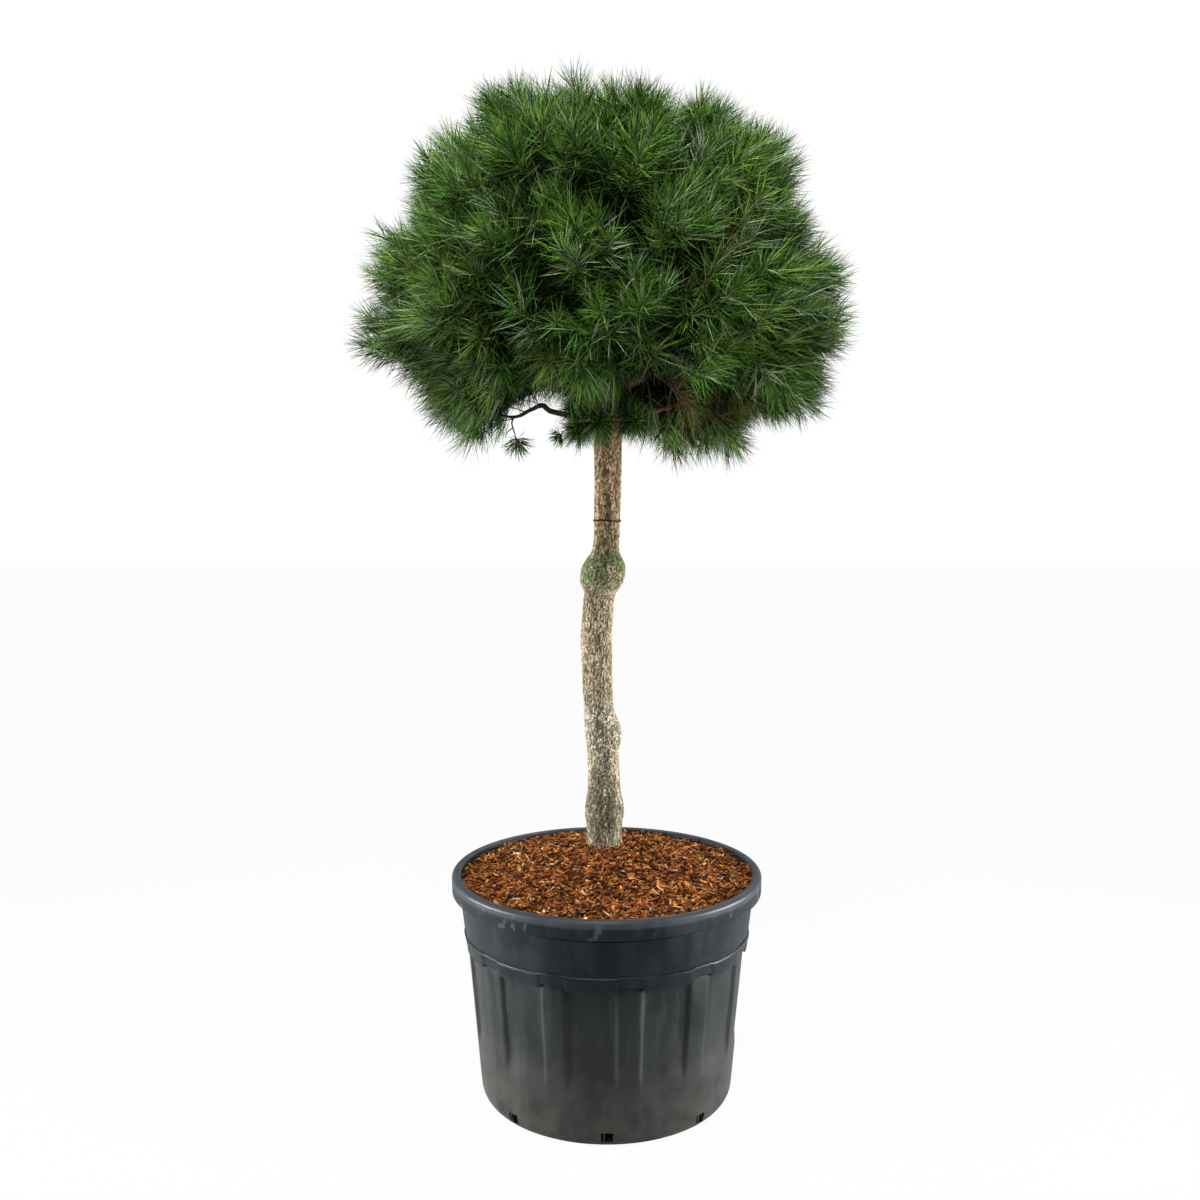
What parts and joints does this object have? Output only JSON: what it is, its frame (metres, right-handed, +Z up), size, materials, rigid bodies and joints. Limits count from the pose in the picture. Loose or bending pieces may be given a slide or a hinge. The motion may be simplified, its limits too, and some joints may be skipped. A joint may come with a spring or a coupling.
{
  "type": "potted standard pine",
  "caption": "Standard pine with a round crown of long needles on a clear stem, growing in a ribbed round nursery container topped with bark mulch.",
  "frame": {"origin": "centre of the container's flat underside, which is what the plant stands on", "axes": "+Z up along the stem; -Y is the side that is looked at; +X is to the right when looking along +Y"},
  "size_m": [0.9203, 0.902, 1.8982],
  "materials": {
    "container_plastic": "satin",
    "bark_mulch": "matte",
    "bark": "matte",
    "young_bark": "matte",
    "needles": "matte",
    "tie_wire": "matte"
  },
  "bodies": {
    "root": {"bough_lower_1": "young_bark", "bough_lower_2": "young_bark", "bough_lower_3": "young_bark", "bough_lower_4": "young_bark", "bough_lower_5": "young_bark", "bough_lower_6": "young_bark", "bough_lower_7": "young_bark", "bough_upper_1": "young_bark", "bough_upper_2": "young_bark", "bough_upper_3": "young_bark", "bough_upper_4": "young_bark", "bough_upper_5": "young_bark", "foliage_lower_1": "needles", "foliage_lower_2": "needles", "foliage_lower_3": "needles", "foliage_lower_4": "needles", "foliage_lower_5": "needles", "foliage_lower_6": "needles", "foliage_lower_7": "needles", "foliage_top": "needles", "foliage_upper_1": "needles", "foliage_upper_2": "needles", "foliage_upper_3": "needles", "foliage_upper_4": "needles", "foliage_upper_5": "needles", "hanging_spray": "needles", "hanging_twig": "young_bark", "pot": "container_plastic", "root_ball": "bark_mulch", "stem_spray_left": "needles", "stem_spray_right": "needles", "tie_ring": "tie_wire", "trunk": "bark"}
  },
  "joints": []
}
